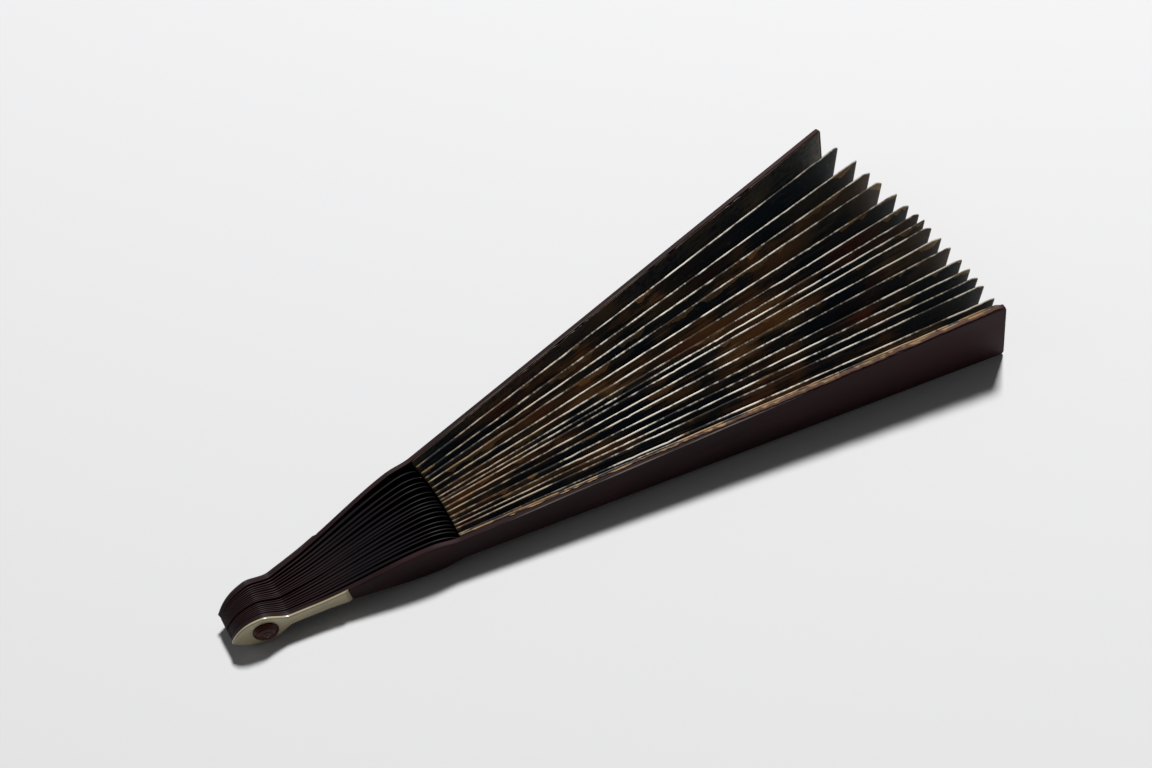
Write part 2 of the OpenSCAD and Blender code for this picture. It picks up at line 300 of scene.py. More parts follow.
def wood_wear_and_painted_light(tree, colour, streaks, edge, shade_part, warmed, wear_and_highlight):
    """Use and painted light, for the eye: rubbed edges in patches, painted shade on the handle past the
    heads, the red of the blade's end by warmed, and a painted highlight, a thin pale line on the very edge.
    The strengths of the shade and of the highlight are the arguments after edge and after warmed."""
    edge_part = add(tree, VALUE, attribute_name="edge", out=2)
    patchy = add(tree, RANGE, {0: streaks, 1: 0.3, 2: 0.62, 3: 0.2, 4: 0.8}, **EASED)
    rubbed = add(tree, RANGE, {0: edge_part, 1: 0.35, 2: 1.0}, **EASED)
    rubbed = add(tree, MATH, {0: rubbed, 1: patchy}, operation="MULTIPLY")
    colour = add(tree, MIX, {0: rubbed, 6: colour, 7: linear(edge)}, 2, **RGBA)
    run = add(tree, VALUE, attribute_name="run_mm", out=2)
    # The first pass is painted shade: past the heads the handle is darkened where shade falls between the
    # sticks. The second pass is the blade's own red.
    for reach, strength, tone in ((HANDLE_SHADE_RUN, shade_part, HANDLE_SHADE), (RED_RUN, warmed, RED)):
        part = add(tree, RANGE, dict(enumerate((run, *reach, 0.0, strength))), **EASED)
        colour = add(tree, MIX, {0: part, 6: colour, 7: linear(tone)}, 2, **RGBA)
    # Painted highlight: a thin pale line along the guard's very edge, where light would catch it.
    ridge = add(tree, RANGE, {0: edge_part, 1: 0.8, 2: 1.0})
    starts = add(tree, RANGE, dict(enumerate((run, *HIGHLIGHT_FROM, 0.0, wear_and_highlight))), **EASED)
    stops = add(tree, RANGE, dict(enumerate((run, *HIGHLIGHT_TO, 1.0, 0.0))), **EASED)
    for part in (starts, stops, patchy):
        ridge = add(tree, MATH, {0: ridge, 1: part}, operation="MULTIPLY")
    return add(tree, MIX, {0: ridge, 6: colour, 7: linear(EDGE_HIGHLIGHT)}, 2, **RGBA)


print("the pale line runs from", HIGHLIGHT_FROM[0], "to", HIGHLIGHT_TO[1], "mm")

# %% [markdown]
# The wax has dried, so the wood shines little, and not evenly. Roughness therefore follows the clouds.
# The pores are too small to model, so a bump node tips the light in them instead.

# %% Waxed dark wood


def waxed_wood(name, tones, roughness, shine, shade_part, warmed, wear_and_highlight):
    """Old waxed wood for the eye: its grain and wear in three tones, dark, mid and edge, with painted shade
    on the handle and a painted highlight on the edge, little shine, and a roughness that differs from cloud
    to cloud. Pores and streaks give a faint relief."""
    material, tree = new_material(name)
    colour, streaks, clouds, pores = wood_grain(tree, *tones)
    colour = wood_wear_and_painted_light(tree, colour, streaks, tones[-1], shade_part, warmed, wear_and_highlight)
    rough = {0: clouds, 1: 0.3, 2: 0.7, 3: roughness - 0.05, 4: roughness + 0.08}
    rough = add(tree, RANGE, rough, **EASED)
    height = add(tree, MATH, {0: pores, 1: streaks}, operation="ADD")
    bump = add(tree, BUMP, {"Height": height, "Distance": 0.00004, "Strength": 0.5})
    surface = {"Base Color": colour, "Roughness": rough, "Normal": bump}
    surface.update({"IOR": 1.5, "Specular IOR Level": shine})
    surface = add(tree, PRINCIPLED, surface)
    add(tree, OUTPUT, {"Surface": surface})
    return material


STICK_TONES, GUARD_TONES = ("#22171a", "#2e1e20", "#3a2526"), ("#1c1013", "#2a171a", "#3f2526")
# The sticks carry the painted shade on their handles, and the guards carry the painted highlight along their
# edge.
stick_wood = waxed_wood("dark_wood_waxed_stick", STICK_TONES, 0.48, 0.12, 0.9, 0.0, 0.0)
guard_wood = waxed_wood("dark_wood_waxed_guard", GUARD_TONES, 0.56, 0.12, 0.0, 0.5, 1.0)
print("wood", stick_wood.name, guard_wood.name)

# %% [markdown]
# ### Horn
# The cheeks are pale horn, sawn thin and polished. Horn is made of fine layers, so faint streaks run
# along it, and a little light passes into it. One horn is never all one colour: the far cheek was cut
# from its smoky part. The rivet's eyes are dark horn, a deep brown red, turned and polished like
# buttons. A glass-like material would let the guard show through. A little light scattered below the
# surface is enough for a plate that lies on dark wood.

# %% Polished horn
# Horn's layers are far thinner than a pixel, so their streaks are drawn coarser.
HORN_LAYER_MM, HORN_TURNED_MM, HORN_STAIN_MM = (17, 1.1), (9, 6), (14, 9)


def polished_horn(name, tones, layer, shine, coat):
    """Horn for the eye: pale and deep tones in streaks of the layer size, stains, a stained edge, a
    polish and a faint inner glow. Where the edge value is below 0, the polish is full."""
    pale, deep, stain = (linear(tone) for tone in tones)
    material, tree = new_material(name)
    grain = add(tree, "ShaderNodeUVMap", uv_map="grain")
    where = add(tree, MAPPING, {"Vector": grain, "Scale": patches(*layer)})
    layers = {"Vector": where, "Scale": 1.0, "Detail": 5.0, "Roughness": 0.6}
    layers = add(tree, NOISE, layers)
    where = add(tree, MAPPING, {"Vector": grain, "Scale": patches(*HORN_STAIN_MM)})
    stains = add(tree, NOISE, {"Vector": where, "Scale": 1.0, "Detail": 3.0})
    layered = add(tree, RANGE, {0: layers, 1: 0.3, 2: 0.7}, **EASED)
    colour = add(tree, MIX, {0: layered, 6: pale, 7: deep}, 2, **RGBA)
    stained = add(tree, RANGE, {0: stains, 1: 0.5, 2: 0.8, 4: 0.6}, **EASED)
    colour = add(tree, MIX, {0: stained, 6: colour, 7: stain}, 2, **RGBA)
    edge_part = add(tree, VALUE, attribute_name="edge", out=2)
    gloss = add(tree, RANGE, {0: edge_part, 1: -1.0, 2: 0.0, 3: 0.6, 4: shine})
    edge_part = add(tree, RANGE, {0: edge_part, 1: 0.2, 2: 1.0, 4: 0.65}, **EASED)
    colour = add(tree, MIX, {0: edge_part, 6: colour, 7: stain}, 2, **RGBA)
    rough = add(tree, RANGE, {0: layers, 1: 0.3, 2: 0.7, 3: 0.22, 4: 0.36}, **EASED)
    surface = {"Base Color": colour, "Roughness": rough, "IOR": 1.54, "Specular IOR Level": gloss}
    surface.update({"Coat Weight": coat, "Coat Roughness": 0.12})
    surface.update({"Subsurface Weight": 0.08, "Subsurface Radius": (0.0012, 0.0008, 0.0005)})
    surface = add(tree, PRINCIPLED, surface)
    add(tree, OUTPUT, {"Surface": surface})
    return material


PALE, SMOKY = ("#b6ab8d", "#a2967b", "#80755a"), ("#37342f", "#2a2724", "#1d1b19")
BROWN = ("#4f1d0e", "#35120a", "#0e0404")
pale_horn = polished_horn("pale_horn_polished", PALE, HORN_LAYER_MM, 0.35, 0.3)
smoky_horn = polished_horn("smoky_horn_polished", SMOKY, HORN_LAYER_MM, 0.1, 0.0)
brown_horn = polished_horn("brown_horn_polished", BROWN, HORN_TURNED_MM, 0.14, 0.0)
print("horn", pale_horn.name, smoky_horn.name, brown_horn.name)

# %% [markdown]
# ### Painted paper
# The leaf is thin laid paper, painted nearly black with a blue cast and then washed with brown, rust and
# ochre. The washes are wide soft clouds with no drawing in them, and the paint turns greyer towards the
# outer edge. Clouds of plain noise would look like smoke. Here the brush streaks are added to them first, so
# that their rims fray along the brush.

# %% Paint
LEAF_R, LEAF_INNER_R = 291.0, 77.0
INK, INDIGO, GREYED = "#2a333a", "#3a4651", "#4b504f"
GREY_RUN, GREY_PART = (LEAF_R - 50.0, LEAF_R - 6.0), 0.62
WASH_MM = (60, 90)
# Each wash has a shift of its clouds, the values where a cloud begins and is full, a strength and a
# colour.
WASHES = (
    ((0.0, 0.0, 0.0), 0.62, 0.74, 0.95, "#84684f"),
    ((7.3, 2.1, 0.0), 0.71, 0.82, 0.75, "#7a4a3e"),
    ((3.1, 9.4, 0.0), 0.72, 0.86, 0.85, "#b3946b"),
)


def washed_paint(tree, sheet, streak, run):
    """Paint for the eye: ink and indigo in brush streaks, then each wash as clouds whose rims follow
    the streaks, and grey mixed in towards the outer edge."""
    streaked = add(tree, RANGE, {0: streak, 1: 0.35, 2: 0.7}, **EASED)
    colour = add(tree, MIX, {0: streaked, 6: linear(INK), 7: linear(INDIGO)}, 2, **RGBA)
    wide = add(tree, MAPPING, {"Vector": sheet, "Scale": patches(*WASH_MM)})
    for shift, low, high, strength, wash in WASHES:
        where = add(tree, "ShaderNodeVectorMath", {0: wide, 1: shift}, operation="ADD")
        cloud = {"Vector": where, "Scale": 1.0, "Detail": 8.0, "Roughness": 0.62}
        cloud = add(tree, NOISE, cloud)
        cloud = add(tree, MATH, {0: streak, 1: 0.3, 2: cloud}, operation="MULTIPLY_ADD")
        cloud = add(tree, RANGE, {0: cloud, 1: low, 2: high, 4: strength}, **EASED)
        colour = add(tree, MIX, {0: cloud, 6: colour, 7: linear(wash)}, 2, **RGBA)
    greyed = add(tree, RANGE, dict(enumerate((run, *GREY_RUN, 0.0, GREY_PART))), **EASED)
    return add(tree, MIX, {0: greyed, 6: colour, 7: linear(GREYED)}, 2, **RGBA)


print("washes", len(WASHES), "in clouds of", WASH_MM, "mm")

# %% [markdown]
# A fold is where paper rubs first: the paint has gone along every mountain fold in broken lines. Wear
# is told by the distance from the fold and the run along it. A pointiness node could find the folds,
# but it depends on the mesh, and a distance in millimetres doesn't. Here and there a chip has come
# away beside the fold, and tan paper shows.

# %% Chips beside the folds
RUBBED_MM, BROKEN_MM, NICKED_MM, TORN_MM = 45.0, 11.0, 1.6, 30.0
CHIP_DEEP, CHIP_PALE = "#7a5838", "#c4a67c"


def fold_noises(tree, run):
    """The distance from the fold in millimetres, and four noises along it: rubbed, broken, nicked and
    torn. Each pleat reads them at a place of its own."""
    fold = add(tree, VALUE, attribute_name="fold_mm", out=2)
    fold = add(tree, MATH, {0: fold}, operation="ABSOLUTE")
    pleat_at = add(tree, VALUE, attribute_name="pleat_at_mm", out=2)
    along = add(tree, "ShaderNodeCombineXYZ", {"X": run, "Y": pleat_at})
    noises = [
        add(tree, NOISE, {"Vector": along, "Scale": 1 / size, "Detail": 4.0, "Roughness": 0.6})
        for size in (RUBBED_MM, BROKEN_MM, NICKED_MM, TORN_MM)
    ]
    return fold, noises


def chipped(tree, colour, speck, fold, nicked, torn, tears):
    """Tan chips for the eye. The first two numbers in tears are the values of the torn noise between
    which a chip grows, and the other two its reach from the fold in millimetres."""
    chip = add(tree, RANGE, dict(enumerate((torn, *tears))), **EASED)
    chip = add(tree, MATH, {0: chip, 1: fold}, operation="SUBTRACT")
    chip = add(tree, MATH, {0: chip, 1: nicked}, operation="ADD")
    chip = add(tree, RANGE, {0: chip, 1: 0.45, 2: 0.75}, **EASED)
    tan = add(tree, MIX, {0: speck, 6: linear(CHIP_DEEP), 7: linear(CHIP_PALE)}, 2, **RGBA)
    return add(tree, MIX, {0: chip, 6: colour, 7: tan}, 2, **RGBA)


print("chips", TORN_MM, "mm apart with nicks of", NICKED_MM, "mm")

# %% [markdown]
# The bare lines are thin and brown near the sticks. Further out they are wide and cream, and towards
# the outer edge hands have soiled them again. One even line would look drawn with a ruler, so three
# noises of different lengths break it, notch it and fade it.

# %% Bare lines
CREAM, TOASTED, SOILED, UMBER = "#f1eadb", "#9f8a6d", "#8c8478", "#352b22"
PALE_RUN, SOIL_RUN, SOIL_PART = (80.0, 180.0), (190.0, 285.0), 0.65


def bare_lines(tree, run, fold, rubbed, broken, nicked, wear):
    """Where a fold is bare, for the eye, and the colour of its line: within a width of about wear in
    millimetres, which breaks, is notched, and is narrower near the sticks."""
    outward = add(tree, RANGE, dict(enumerate((run, *PALE_RUN, 0.1, 1.0))), **EASED)
    width = {0: broken, 1: 0.36, 2: 0.64, 3: wear * 0.35, 4: wear}
    width = add(tree, RANGE, width, **EASED)
    notch = add(tree, RANGE, {0: nicked, 1: 0.56, 2: 0.74, 4: wear * 0.7}, **EASED)
    width = add(tree, MATH, {0: width, 1: notch}, operation="ADD")
    narrow = add(tree, RANGE, {0: outward, 1: 0.0, 2: 0.6, 3: 0.55})
    width = add(tree, MATH, {0: width, 1: narrow}, operation="MULTIPLY")
    wear_and_highlight = add(tree, MATH, {0: width, 1: fold}, operation="SUBTRACT")
    wear_and_highlight = add(tree, RANGE, {0: wear_and_highlight, 1: -0.1, 2: 0.12}, **EASED)
    worn = add(tree, MATH, {0: broken, 1: 0.7, 2: rubbed}, operation="MULTIPLY_ADD")
    worn = add(tree, MATH, {0: nicked, 1: 0.35, 2: worn}, operation="MULTIPLY_ADD")
    worn = add(tree, RANGE, {0: worn, 1: 0.9, 2: 1.14}, **EASED)
    line = add(tree, MIX, {0: outward, 6: linear(TOASTED), 7: linear(CREAM)}, 2, **RGBA)
    soiled = add(tree, RANGE, dict(enumerate((run, *SOIL_RUN, 0.0, SOIL_PART))), **EASED)
    line = add(tree, MIX, {0: soiled, 6: line, 7: linear(SOILED)}, 2, **RGBA)
    line = add(tree, MIX, {0: worn, 6: linear(UMBER), 7: line}, 2, **RGBA)
    return wear_and_highlight, line


print("bare lines break every", BROKEN_MM, "mm and fade every", RUBBED_MM, "mm")

# %% [markdown]
# The leaf's two ends have worn as well. Its inner hem is bare, most at the folds, and its outer edge
# is rubbed. Both are told by the run alone, so no extra strip of mesh is needed for them.

# %% Worn ends
HEM_RUN, HEM_PART = (LEAF_INNER_R + 0.6, LEAF_INNER_R + 2.2), 0.9
RIM_RUN, RIM_PART = (LEAF_R - 0.9, LEAF_R - 0.3), 0.3
END_TONE = "#94856a"


def worn_ends(tree, colour, run, fold):
    """Tan for the eye at both ends of the leaf: on the hem, less so away from the folds, and on the
    outer rim."""
    hem = add(tree, RANGE, dict(enumerate((run, *HEM_RUN, HEM_PART, 0.0))), **EASED)
    near_fold = add(tree, RANGE, {0: fold, 1: 0.8, 2: 2.2, 3: 1.0, 4: 0.45}, **EASED)
    hem = add(tree, MATH, {0: hem, 1: near_fold}, operation="MULTIPLY")
    rim = add(tree, RANGE, dict(enumerate((run, *RIM_RUN, 0.0, RIM_PART))), **EASED)
    ends = add(tree, MATH, {0: hem, 1: rim}, operation="MAXIMUM")
    return add(tree, MIX, {0: ends, 6: colour, 7: linear(END_TONE)}, 2, **RGBA)


print("the hem is worn to", HEM_RUN[1], "mm and the rim from", RIM_RUN[0], "mm")

# %% [markdown]
# The layers go on in the order in which they came to the real leaf: paint, specks, chips, bare lines and
# worn ends. A mottled grey, which is a painted light, goes on between the specks and the chips. Three papers
# come of it, for the leaf, for the torn first pleat and for the last panel, which is painted lighter, as if
# more light fell on it.

# %% Painted paper
# Paper fibres are hundredths of a millimetre wide, so they are drawn coarser.
FIBRE_MM, SPECK_MM, BRUSH_MM = (1.1, 0.4), (2.4, 1.9), (18, 1.6)
# The second colour is a painted light: a grey that stands for more light falling on the last panel.
TAN, LIT_GREY = "#b89a74", "#7a7166"


def painted_paper(name, wear, tears, lit_part):
    """Painted paper for the eye: the washed paint with tan specks, a painted light of mottled grey by the
    last strength, chips from tears, bare lines as wide as wear, and worn ends."""
    material, tree = new_material(name)
    sheet = add(tree, "ShaderNodeUVMap", uv_map="leaf")
    run = add(tree, VALUE, attribute_name="run_mm", out=2)
    sizes = (FIBRE_MM, SPECK_MM, BRUSH_MM)
    places = [add(tree, MAPPING, {"Vector": sheet, "Scale": patches(*size)}) for size in sizes]
    fibre, speck, streak = (add(tree, NOISE, {"Vector": p, **PLAIN}) for p in places)
    colour = washed_paint(tree, sheet, streak, run)
    specks = add(tree, RANGE, {0: speck, 1: 0.58, 2: 0.8, 4: 0.3}, **EASED)
    colour = add(tree, MIX, {0: specks, 6: colour, 7: linear(TAN)}, 2, **RGBA)
    # Painted light: a mottled grey that lightens a panel, as if more light fell on it.
    painted_light = add(tree, RANGE, {0: speck, 1: 0.3, 2: 0.65, 4: lit_part}, **EASED)
    colour = add(tree, MIX, {0: painted_light, 6: colour, 7: linear(LIT_GREY)}, 2, **RGBA)
    fold, (rubbed, broken, nicked, torn) = fold_noises(tree, run)
    colour = chipped(tree, colour, speck, fold, nicked, torn, tears)
    wear_and_highlight, line = bare_lines(tree, run, fold, rubbed, broken, nicked, wear)
    colour = add(tree, MIX, {0: wear_and_highlight, 6: colour, 7: line}, 2, **RGBA)
    colour = worn_ends(tree, colour, run, fold)
    rough = add(tree, RANGE, {0: streak, 1: 0.3, 2: 0.7, 3: 0.64, 4: 0.82}, **EASED)
    height = add(tree, MATH, {0: fibre, 1: wear_and_highlight}, operation="ADD")
    bump = add(tree, BUMP, {"Height": height, "Distance": 0.00006, "Strength": 0.5})
    surface = {"Base Color": colour, "Roughness": rough, "Normal": bump}
    surface.update({"IOR": 1.45, "Specular IOR Level": 0.25})
    surface = add(tree, PRINCIPLED, surface)
    add(tree, OUTPUT, {"Surface": surface})
    return material


leaf_paper = painted_paper("paper_painted_worn", 0.58, (0.52, 0.66, -0.8, 3.6), 0.0)
near_paper = painted_paper("paper_painted_torn", 0.08, (0.44, 0.6, -0.9, 2.6), 0.0)
# The last panel is painted lighter with mottled grey, as painted light.
end_paper = painted_paper("paper_painted_lit", 0.4, (0.6, 0.76, -0.6, 1.6), 0.6)
print("painted paper", leaf_paper.name, near_paper.name, end_paper.name)

# %% [markdown]
# ### Bare paper
# The back of the leaf was never painted, and age has toasted it brown. Where the painted ply has torn
# away on the near guard, a paler tan ply is left, with long stains and a rubbed edge. Both are one
# kind of paper, so one function makes them from four tones.

# %% Bare paper
BACK_TONES, BACK_STAIN_MM = ("#6e5940", "#4b3a2a", "#8a7453", "#4b3a2a"), (25, 17)
TORN_TONES, TORN_STAIN_MM = ("#a9855d", "#1f1512", "#b39672", "#563a2e"), (9, 0.9)
BARE_FIBRE_MM = (2, 0.6)  # again coarser than real fibres


def bare_paper(name, tones, stain_mm):
    """Toasted paper for the eye: pale and deep tones in stains, and fibres. Where its edge value is
    1, hands have rubbed it to the last tone."""
    pale, deep, fibres, rubbed = (linear(tone) for tone in tones)
    material, tree = new_material(name)
    sheet = add(tree, "ShaderNodeUVMap", uv_map="leaf")
    sizes = (BARE_FIBRE_MM, stain_mm)
    places = [add(tree, MAPPING, {"Vector": sheet, "Scale": patches(*size)}) for size in sizes]
    fibre, stain = (add(tree, NOISE, {"Vector": p, **PLAIN}) for p in places)
    stained = add(tree, RANGE, {0: stain, 1: 0.35, 2: 0.7}, **EASED)
    colour = add(tree, MIX, {0: stained, 6: pale, 7: deep}, 2, **RGBA)
    fibrous = add(tree, RANGE, {0: fibre, 1: 0.3, 2: 0.75, 4: 0.3}, **EASED)
    colour = add(tree, MIX, {0: fibrous, 6: colour, 7: fibres}, 2, **RGBA)
    edge_part = add(tree, VALUE, attribute_name="edge", out=2)
    colour = add(tree, MIX, {0: edge_part, 6: colour, 7: rubbed}, 2, **RGBA)
    bump = add(tree, BUMP, {"Height": fibre, "Distance": 0.00005, "Strength": 0.5})
    surface = {"Base Color": colour, "Roughness": 0.85, "IOR": 1.45, "Normal": bump}
    surface = add(tree, PRINCIPLED, surface)
    add(tree, OUTPUT, {"Surface": surface})
    return material


back_paper = bare_paper("paper_bare_back", BACK_TONES, BACK_STAIN_MM)
torn_paper = bare_paper("paper_bare_torn", TORN_TONES, TORN_STAIN_MM)
print("bare paper", back_paper.name, torn_paper.name)

# %% [markdown]
# ### Table
# The fan lies on a plain, pale, matt sheet, whose tooth is hardly seen. A plain square is enough for
# it, large enough to pass out of the picture. It belongs to the stage and not to the fan.

# %% Table
TOOTH_MM = 4.5  # a real tooth is finer than a pixel, so it is drawn coarser
TABLE_HALF = 3.0


def table_top(name):
    """A pale matt sheet for the eye, with a faint tooth."""
    material, tree = new_material(name)
    where = add(tree, "ShaderNodeTexCoord", out=3)
    tooth = add(tree, NOISE, {"Vector": where, "Scale": 1000.0 / TOOTH_MM, "Detail": 3.0})
    bump = add(tree, BUMP, {"Height": tooth, "Distance": 0.00002, "Strength": 0.2})
    surface = {"Base Color": linear("#e7e7e8"), "Roughness": 0.75, "Normal": bump}
    surface["Specular IOR Level"] = 0.2
    surface = add(tree, PRINCIPLED, surface)
    add(tree, OUTPUT, {"Surface": surface})
    return material


floor_mesh = bpy.data.meshes.new("table")
corners = [(x * TABLE_HALF, y * TABLE_HALF, 0) for x, y in ((-1, -1), (1, -1), (1, 1), (-1, 1))]
floor_mesh.from_pydata(corners, [], [(0, 1, 2, 3)])
floor_mesh.materials.append(table_top("table_pale_matt"))
floor = bpy.data.objects.new("table", floor_mesh)
scene.collection.objects.link(floor)
floor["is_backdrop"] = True
print("table", 2 * TABLE_HALF, "m wide")

# %% [markdown]
# ## The shape of a stick, as formulas
# A stick is drawn once as a half width that depends on the distance from the rivet: a pointed head, a
# drawn-in neck and a full shoulder. A guard goes on from the shoulder as a blade. The outline could
# be a hand-drawn curve. Eased steps between a few widths give the same smooth line as the solids.

# %% Half widths
HEAD_TIP, HEAD_POWER = 12.2, 2.6
NECK_W, NECK_R, NECK_LEN, SHOULDER_W, SHOULDER_R = 4.8, 11.0, 9.0, 14.4, 66.0
GUARD_INNER_W = 11.0
PLEAT_INNER_W, PLEAT_OUTER_W = 10.4, 27.0


def ease(t):
    """The eased step 3t²-2t³, with t held between 0 and 1."""
    t = np.clip(t, 0, 1)
    return t * t * (3 - 2 * t)


def handle_half(r, head_half):
    """Half width of a handle: a blunt power curve from the tip to the head, then two eased steps, one
    down to the neck and one from the neck's end up to the shoulder."""
    head = head_half * (1 - np.maximum((HEAD_R - r) / (HEAD_R + HEAD_TIP), 0) ** HEAD_POWER)
    neck = head_half + (NECK_W / 2 - head_half) * ease((r - HEAD_R) / (NECK_R - HEAD_R))
    rise = ease((r - NECK_R - NECK_LEN) / (SHOULDER_R - NECK_R - NECK_LEN))
    shoulder = NECK_W / 2 + (SHOULDER_W - NECK_W) / 2 * rise
    return np.where(r < HEAD_R, head, np.where(r < NECK_R, neck, shoulder))


def guard_half(r):
    """Half width of a guard: the handle, a slight waist where the leaf begins, then an even widening
    to a rounded end."""
    drawn_in = ease((r - SHOULDER_R) / (LEAF_INNER_R - SHOULDER_R))
    waist = (SHOULDER_W + (GUARD_INNER_W - SHOULDER_W) * drawn_in) / 2
    widening = (GUARD_END_W - GUARD_INNER_W) * (r - LEAF_INNER_R) / (GUARD_R - LEAF_INNER_R)
    blade = (GUARD_INNER_W + widening) / 2
    past = np.clip(r - (GUARD_R - GUARD_CORNER), 0, GUARD_CORNER)
    blade = blade - GUARD_CORNER + np.sqrt(GUARD_CORNER**2 - past**2)
    blade = np.where(r < LEAF_INNER_R, waist, blade)
    return np.where(r < SHOULDER_R, handle_half(r, HEAD_W / 2), blade)


def pleat_half(r):
    """Half width of a pleat, which widens evenly from the leaf's inner edge to its outer edge."""
    widening = (PLEAT_OUTER_W - PLEAT_INNER_W) * (r - LEAF_INNER_R) / (LEAF_R - LEAF_INNER_R)
    return (PLEAT_INNER_W + widening) / 2


sample_r = np.array([0.0, 13, 33, 66])
print("half widths at", sample_r, "are", handle_half(sample_r, HEAD_W / 2).round(2))

# %% [markdown]
# A second set of formulas lays each stick on its own plane, which is turned a little more than the
# last one, and sets the whole fan down on the table. Each object could be turned instead, but a piece
# that has its place in its own points needs no turning, and joints can then move it freely.

# %% Places
FAN_X = -11.0  # where the layers fan out
MM = 0.001  # in metres


def layer_y(i):
    """Place of a layer's middle plane along Y, where the layers fan out."""
    if i in (0, LAST):
        return (-1 if i == 0 else 1) * (STACK_HALF + GUARD_T / 2)
    return -STACK_HALF + STICK_GAP + STICK_T / 2 + (i - 1) * (STICK_T + STICK_GAP)


def place(i, r, out, z):
    """Points of layer i at distance r along it, moved out along its normal and up by z. The layer is
    a plane that is turned by its splay about the point where the layers fan out."""
    c, s = math.cos(SPLAYS[i]), math.sin(SPLAYS[i])
    x = FAN_X + (r - FAN_X) * c - out * s
    y = layer_y(i) + (r - FAN_X) * s + out * c
    return np.stack(np.broadcast_arrays(x, y, z), -1)


def rivet_r(i, out):
    """Distance along layer i at which a plane that lies out from it meets the rivet."""
    return FAN_X + (out * math.sin(SPLAYS[i]) - FAN_X) / math.cos(SPLAYS[i])


def on_table(points):
    """Takes points in the fan's own frame, in millimetres from the rivet, to the row frame in metres,
    leaning as it rests."""
    c, s = math.cos(LEAN), math.sin(LEAN)
    x, y, z = points[..., 0], points[..., 1], points[..., 2]
    return np.stack([x * c - z * s, y, x * s + z * c], -1) * MM + RIVET


print("layers from", round(layer_y(0), 2), "to", round(layer_y(LAST), 2), "mm")

# %% [markdown]
# ## From grids of points to meshes
# A surface here is a grid of points, and each cell of the grid becomes one four-sided face. Points,
# map and values go into the mesh as whole arrays, which is far faster than one at a time.

# %% Mesh tools


def new_piece(name, points, faces, materials, uv, values, uv_name="grain", slots=None):
    """Makes one smooth object from points and faces, with a map and named values given per point, and
    with a material slot per face."""
    mesh = bpy.data.meshes.new(name)
    mesh.from_pydata(on_table(points), [], faces)
    for material in materials:
        mesh.materials.append(material)
    if slots is not None:
        mesh.polygons.foreach_set("material_index", np.asarray(slots, np.int32))
    corner = np.empty(len(mesh.loops), np.int32)
    mesh.loops.foreach_get("vertex_index", corner)
    layer = mesh.uv_layers.new(name=uv_name)
    layer.data.foreach_set("uv", np.asarray(uv, np.float32)[corner].ravel())
    for key, value in values.items():
        held = mesh.attributes.new(key, "FLOAT", "POINT")
        held.data.foreach_set("value", np.asarray(value, np.float32).ravel())
    mesh.polygons.foreach_set("use_smooth", np.ones(len(mesh.polygons), bool))
    mesh.update()
    piece = bpy.data.objects.new(name, mesh)
    scene.collection.objects.link(piece)
    return piece


def strip_faces(rows, columns, closed):
    """The quads of a grid of rows by columns. A closed grid joins its last column to its first."""
    across = np.arange(columns if closed else columns - 1)
    first = np.arange(rows - 1)[:, None] * columns
    a, b = first + across, first + (across + 1) % columns
    return np.stack([a, b, b + columns, a + columns], -1).reshape(-1, 4).tolist()


print("a closed grid of 3 by 4 points has", len(strip_faces(3, 4, True)), "faces")

# %% [markdown]
# Every piece of wood and horn is a bar: a small section with rounded corners that runs along a
# layer's plane. Its grid goes round the section, and a cap closes each end. A box with a bevel would
# do for one stick. A section carried along lets width, thickness and rounding change on the way.

# %% Section of a bar
CORNER_STEPS = 4
SMALLEST_HALF = 1e-3


def bar_section(r, low, high, half, round_low, round_high):
    """The section at each distance r: a rectangle from low to high through the thickness and from
    -half to half in height, with its corners rounded by round_low and round_high on those two sides.
    Gives back each point's place, its height, and an edge value that is 1 in mid corner."""
    turn = np.linspace(0, np.pi / 2, CORNER_STEPS + 1)
    out, up_z, edge = [], [], []
    for quarter, (sign_out, sign_up) in enumerate(((1, 1), (-1, 1), (-1, -1), (1, -1))):
        angle = turn + quarter * np.pi / 2
        radius = np.broadcast_to(round_high if sign_out > 0 else round_low, r.shape)
        radius = np.minimum(radius, np.maximum(half, SMALLEST_HALF))[:, None]
        base = (high if sign_out > 0 else low)[:, None]
        out.append(base - sign_out * radius + radius * np.cos(angle))
        up_z.append(sign_up * (half[:, None] - radius) + radius * np.sin(angle))
        edge.append(np.broadcast_to(np.sin(2 * turn) ** 0.5, out[-1].shape))
    return [np.concatenate(part, 1) for part in (out, up_z, edge)]


print("points round a section", 4 * (CORNER_STEPS + 1))

# %% [markdown]
# A bar's map is measured in millimetres along it and round it, so the grain keeps its size on narrow
# and on wide pieces. A projected map would stretch the grain on the thin sides.

# %% Bars
GRAIN_APART = (41.0, 7.0)  # each layer reads the grain this much further on


def bar(name, i, r, low, high, half, round_low, round_high, material):
    """A bar along layer i with the section above. Its map runs along it and round it. Large flat
    faces rule the shading beside the small rounded edges."""
    out, up_z, edge = bar_section(r, low, high, half, round_low, round_high)
    rows, columns = out.shape
    steps = np.hypot(np.diff(out, axis=1), np.diff(up_z, axis=1))
    round_way = np.concatenate([np.zeros((rows, 1)), steps], 1).cumsum(1)
    along = np.broadcast_to(r[:, None], out.shape)
    uv = np.stack([along + GRAIN_APART[0] * i, round_way + GRAIN_APART[1] * i], -1) * MM
    faces = strip_faces(rows, columns, True)
    faces += [list(range(columns))[::-1], list(range((rows - 1) * columns, rows * columns))]
    points = place(i, r[:, None], out, up_z).reshape(-1, 3)
    values = {"edge": edge, "run_mm": along}
    piece = new_piece(name, points, faces, [material], uv.reshape(-1, 2), values)
    piece.modifiers.new("flat faces", "WEIGHTED_NORMAL").keep_sharp = True
    return piece


print("the grain shifts by", GRAIN_APART, "mm from layer to layer")

